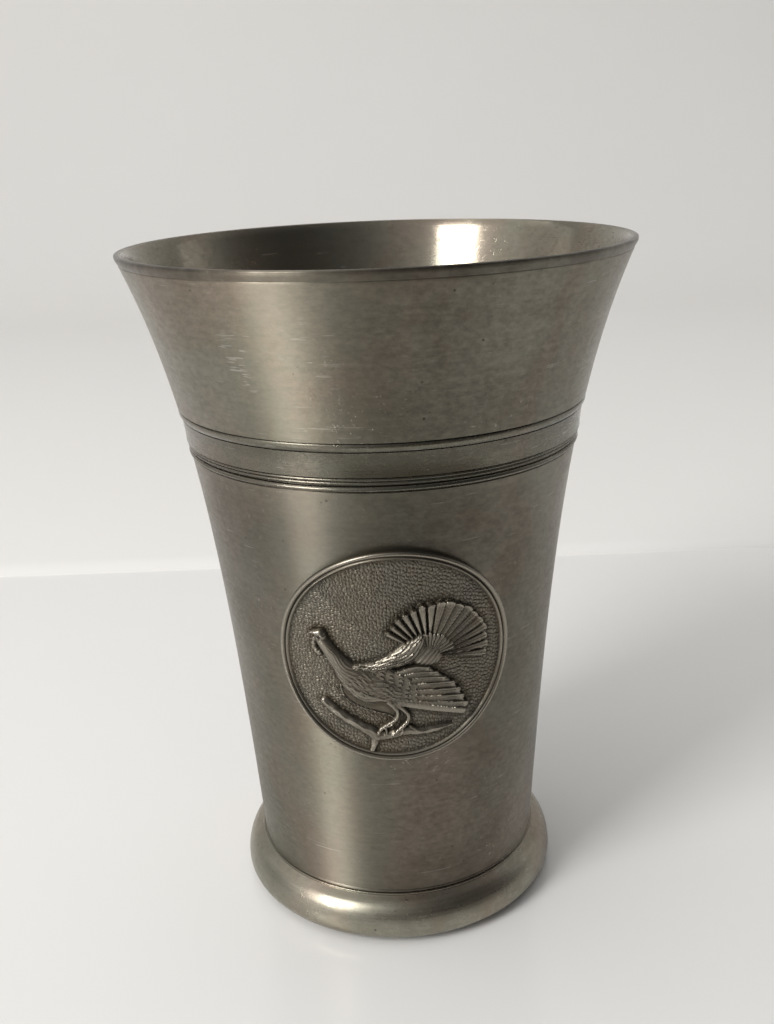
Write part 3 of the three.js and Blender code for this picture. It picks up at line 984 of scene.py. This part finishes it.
BODY_PEWTER = turned_pewter("pewter_body", base=(0.232, 0.210, 0.176), dark=(0.204, 0.184, 0.150),
                            roughness=0.43, anisotropy=0.93, polish_inside=0.23)
BAND_PEWTER = turned_pewter("pewter_band", base=(0.175, 0.161, 0.136), dark=(0.150, 0.138, 0.114),
                            roughness=0.27, anisotropy=0.5, polish_inside=0.12)
FOOT_PEWTER = turned_pewter("pewter_foot", base=(0.350, 0.319, 0.270), dark=(0.265, 0.242, 0.202),
                            roughness=0.31, anisotropy=0.2, dented=0.8)
CAST_PEWTER = relief_pewter("pewter_medallion", worn=(0.280, 0.255, 0.212), patina=(0.100, 0.092, 0.075))
SOLDER_TIN = dull_solder("solder")
SHARP_ANGLE = math.radians(38)


def fit(piece, node, material):
    """Puts a finished piece in the place of its CAD node, its tool-cut edges kept crisp."""
    piece.data.materials.append(material)
    piece.data.set_sharp_from_angle(angle=SHARP_ANGLE)
    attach(piece, ROOT)
    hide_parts(node)


def build_beaker():
    """Every piece of the beaker, in its place."""
    fit(mouth_section(), "mouth_section", BODY_PEWTER)
    fit(waist_band(), "waist_band", BAND_PEWTER)
    fit(lower_body(), "lower_body", BODY_PEWTER)
    fit(foot_ring(), "foot_ring", FOOT_PEWTER)
    fit(base_plate(), "base_plate", BODY_PEWTER)
    fit(medallion(), "medallion", CAST_PEWTER)
    upper = solder_ring("waist_solder_upper", inner(LAP_BOTTOM), UPPER_LAP_RADIUS, LAP_BOTTOM - SOLDER)
    lower = solder_ring("waist_solder_lower", inner(LOWER_LAP_TOP), LOWER_LAP_RADIUS, LOWER_LAP_TOP)
    foot = solder_ring("foot_solder", FOOT_BORE, SPIGOT_RADIUS, SPIGOT_BOTTOM - SOLDER)
    for piece in (upper, lower, foot, base_solder(), medallion_solder()):
        fit(piece, piece.name.split(".")[0], SOLDER_TIN)


def stage_sheet(name, outline, material):
    """A wide sheet swept along X from (y, z) points in metres."""
    reach = 1.8
    verts = [(x, y, z) for y, z in outline for x in (-reach, reach)]
    faces = [(2 * i, 2 * i + 1, 2 * i + 3, 2 * i + 2) for i in range(len(outline) - 1)]
    sheet = mesh_object(name, verts, faces, unit=1)
    sheet.data.materials.append(material)


def build_stage():
    """A glossy pale table, and behind it a matt sheet that sweeps up far behind the beaker."""
    near, join, sweep, bend, top = -1.6, 0.172, 1.1, 0.35, 1.9
    table_top = -0.00005
    sheet_top = 0.0016
    table = stage_material("table", (0.785, 0.78, 0.77), (0.805, 0.80, 0.79), 0.16)
    stage_sheet("table", [(near, table_top), (join, table_top)], table)
    outline = [(join - 0.004, -0.004), (join, sheet_top / 2), (join + 0.01, sheet_top),
               (sweep - bend, sheet_top)]
    outline += [(sweep - bend + bend * math.sin(a), bend - bend * math.cos(a) + sheet_top)
                for a in np.linspace(0, math.pi / 2, 13)[1:]]
    outline.append((sweep, top))
    stage_sheet("backdrop", outline, stage_material("backdrop", (0.81, 0.80, 0.78), (0.83, 0.82, 0.80), 0.6))


def build_shade_card():
    """A dark card on the table in front of the beaker, out of the picture, seen only in the metal: painted
    shade in its reflections, where the room in front is dark.
    """
    card_top = 0.001
    corners = [(-0.10, -0.20), (0.20, -0.165), (0.60, -0.32), (0.50, -0.90), (-0.28, -0.90)]
    verts = [(*corner, card_top) for corner in corners]
    shade_card = mesh_object("shade_card", verts, [range(len(corners))], unit=1)
    shade_card.data.materials.append(stage_material("shade_card", (0.100, 0.076, 0.050), (0.115, 0.088, 0.060), 0.9))
    shade_card.visible_camera = False
    shade_card.visible_diffuse = False
    shade_card.visible_shadow = False


def direction(azimuth, elevation):
    """A unit vector; azimuth 0 is in front of the beaker and positive to its right, in degrees."""
    a, e = math.radians(azimuth), math.radians(elevation)
    return Vector((math.cos(e) * math.sin(a), -math.cos(e) * math.cos(a), math.sin(e)))


def softbox(name, azimuth, elevation, distance, size, power, colour, glossy=True):
    """A rectangular area light that looks at the middle of the beaker."""
    light = bpy.data.lights.new(name, "AREA")
    light.shape = "RECTANGLE"
    light.size, light.size_y = size
    light.energy = power
    light.color = colour
    lamp = bpy.data.objects.new(name, light)
    target = Vector((0, 0, 0.06))
    away = direction(azimuth, elevation)
    lamp.location = target + distance * away
    lamp.rotation_euler = (-away).to_track_quat("-Z", "Y").to_euler()
    lamp.visible_glossy = glossy
    bpy.context.scene.collection.objects.link(lamp)


# The room's soft light: azimuth, elevation and strength of each broad patch. Little light comes from
# the beaker's front right.
ROOM = [(-60, 15, 0.95), (-60, 50, 0.60), (-150, 15, 1.55), (-150, 50, 1.20), (130, 15, 0.85),
        (-10, 30, 0.12)]
ROOM_COLOUR = (1.0, 0.99, 0.975, 1.0)
ROOM_FILL = 0.06
PATCH_SHARPNESS = 7.0


def build_room():
    """A world lit by a few broad soft patches over a faint even fill."""
    world = bpy.data.worlds.new("room")
    world.use_nodes = True
    nodes, links = world.node_tree.nodes, world.node_tree.links

    def step(operation, level, value=None):
        node = nodes.new("ShaderNodeMath")
        node.operation = operation
        links.new(level, node.inputs[0])
        if isinstance(value, bpy.types.NodeSocket):
            links.new(value, node.inputs[1])
        elif value is not None:
            node.inputs[1].default_value = value
        return node.outputs[0]

    view = nodes.new("ShaderNodeTexCoord").outputs["Generated"]
    total = None
    for azimuth, elevation, strength in ROOM:
        towards = nodes.new("ShaderNodeVectorMath")
        towards.operation = "DOT_PRODUCT"
        towards.inputs[1].default_value = direction(azimuth, elevation)
        links.new(view, towards.inputs[0])
        level = step("SUBTRACT", towards.outputs["Value"], 1.0)
        level = step("EXPONENT", step("MULTIPLY", level, PATCH_SHARPNESS))
        level = step("MULTIPLY", level, strength)
        total = step("ADD", level, ROOM_FILL if total is None else total)
    background = nodes["Background"]
    background.inputs["Color"].default_value = ROOM_COLOUR
    links.new(total, background.inputs["Strength"])
    bpy.context.scene.world = world


def build_lights():
    """The key light at the left front, a soft light overhead and the room."""
    softbox("key", -49.5, 31, 1.3, (0.42, 0.75), 12.4, (1.0, 0.985, 0.96))
    softbox("overhead", 0, 86, 1.9, (2.4, 2.4), 8.7, (1.0, 1.0, 1.0), glossy=False)
    build_room()


def build_camera():
    """A camera a little above the rim, looking down at the medallion."""
    distance, height = 0.2098, 0.1484
    pitch, roll, pan = math.radians(-18.707), math.radians(-2.191), math.radians(0.039)
    sensor_mm, lens_mm = 36, 39.375
    data = bpy.data.cameras.new("camera")
    data.sensor_width = sensor_mm
    data.lens = lens_mm
    data.clip_start = 0.01
    camera = bpy.data.objects.new("camera", data)
    forward = Vector((math.sin(pan) * math.cos(pitch), math.cos(pan) * math.cos(pitch), math.sin(pitch)))
    right = Vector((math.cos(pan), -math.sin(pan), 0))
    up = right.cross(forward)
    across = math.cos(roll) * right + math.sin(roll) * up
    upward = math.cos(roll) * up - math.sin(roll) * right
    turn = Matrix((across, upward, -forward)).transposed()
    camera.matrix_world = Matrix.Translation((0, -distance, height)) @ turn.to_4x4()
    bpy.context.scene.collection.objects.link(camera)
    bpy.context.scene.camera = camera


build_camera()
build_beaker()
build_stage()
build_shade_card()
build_lights()
bpy.context.scene.view_settings.view_transform = "Standard"
